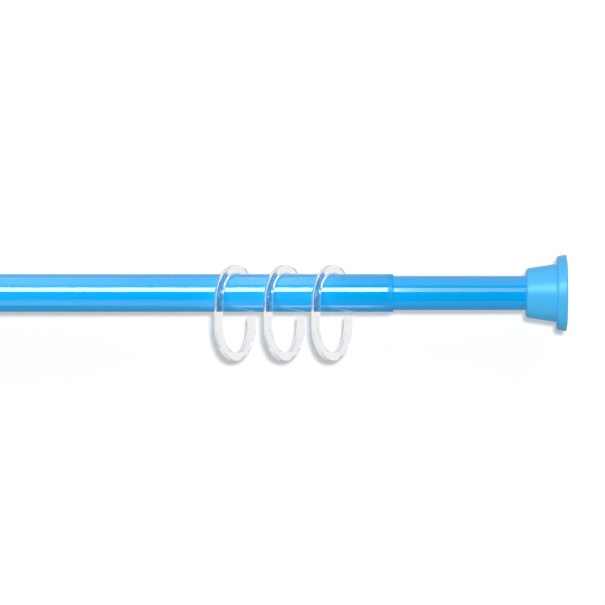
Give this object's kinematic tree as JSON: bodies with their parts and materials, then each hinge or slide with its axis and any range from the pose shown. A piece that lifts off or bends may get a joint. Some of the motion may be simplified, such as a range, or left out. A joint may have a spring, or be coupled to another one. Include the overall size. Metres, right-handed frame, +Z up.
{
  "type": "extendable shower curtain rod",
  "caption": "Telescopic rod of two blue tubes that is sprung between two walls and twist-locked, with flanged end caps and clear open rings for a curtain.",
  "frame": {"origin": "centre of the left wall face", "axes": "+X along the rod to the right wall face, +Z up"},
  "size_m": [0.8464, 0.0562, 0.0782],
  "materials": {
    "blue_lacquer": "high-gloss light blue lacquer on steel tube",
    "collar_plastic": "light blue moulded plastic",
    "cap_plastic": "light blue moulded plastic, satin gloss",
    "pad_rubber": "soft matt blue",
    "clear_plastic": "clear moulded plastic",
    "lock_plastic": "natural white moulded plastic",
    "spindle_steel": "zinc-plated",
    "spring_steel": "drawn spring wire"
  },
  "bodies": {
    "outer_assembly": {"outer_tube": "blue_lacquer", "guide_collar": "collar_plastic", "left_end_cap": "cap_plastic", "left_wall_pad": "pad_rubber"},
    "lock_sleeve": {"expander_sleeve": "lock_plastic"},
    "lock_wedge": {"lock_cone": "lock_plastic"},
    "spindle": {"lock_spindle": "spindle_steel", "thrust_washer": "spindle_steel", "stop_clip": "spring_steel", "plunger_head": "lock_plastic", "plunger_screw": "spindle_steel"},
    "inner_assembly": {"inner_tube": "blue_lacquer", "guide_plug": "lock_plastic", "spring_seat": "lock_plastic", "tension_spring": "spring_steel", "right_end_cap": "cap_plastic", "right_wall_pad": "pad_rubber"},
    "curtain_ring_1_body": {"curtain_ring_1": "clear_plastic"},
    "curtain_ring_2_body": {"curtain_ring_2": "clear_plastic"},
    "curtain_ring_3_body": {"curtain_ring_3": "clear_plastic"}
  },
  "joints": [
    {"name": "telescope", "type": "slide", "parent": "outer_assembly", "child": "lock_sleeve", "axis": [1, 0, 0], "range_m": [-0.0971, 0.4036]},
    {"name": "cone_travel", "type": "slide", "parent": "lock_sleeve", "child": "lock_wedge", "axis": [1, 0, 0], "range_m": [0, 0.0025]},
    {"name": "twist", "type": "hinge", "parent": "lock_sleeve", "child": "spindle", "pos_m": [0.161, 0, 0], "axis": [-1, 0, 0], "range_deg": [0, 450]},
    {"name": "spring_travel", "type": "slide", "parent": "spindle", "child": "inner_assembly", "axis": [-1, 0, 0], "range_m": [0, 0.025], "stiffness_N_per_m": 3000, "springref_m": -0.01, "deforming": ["tension_spring"]},
    {"name": "curtain_ring_1_slide", "type": "slide", "parent": "outer_assembly", "child": "curtain_ring_1_body", "axis": [1, 0, 0], "range_m": [-0.5558, 0.0149]},
    {"name": "curtain_ring_2_slide", "type": "slide", "parent": "outer_assembly", "child": "curtain_ring_2_body", "axis": [1, 0, 0], "range_m": [-0.0149, 0.0142]},
    {"name": "curtain_ring_3_slide", "type": "slide", "parent": "outer_assembly", "child": "curtain_ring_3_body", "axis": [1, 0, 0], "range_m": [-0.0142, 0.0296]}
  ],
  "couplings": [
    {"joint": "cone_travel", "follows": "twist", "m_per_rad": 0.00031831}
  ]
}
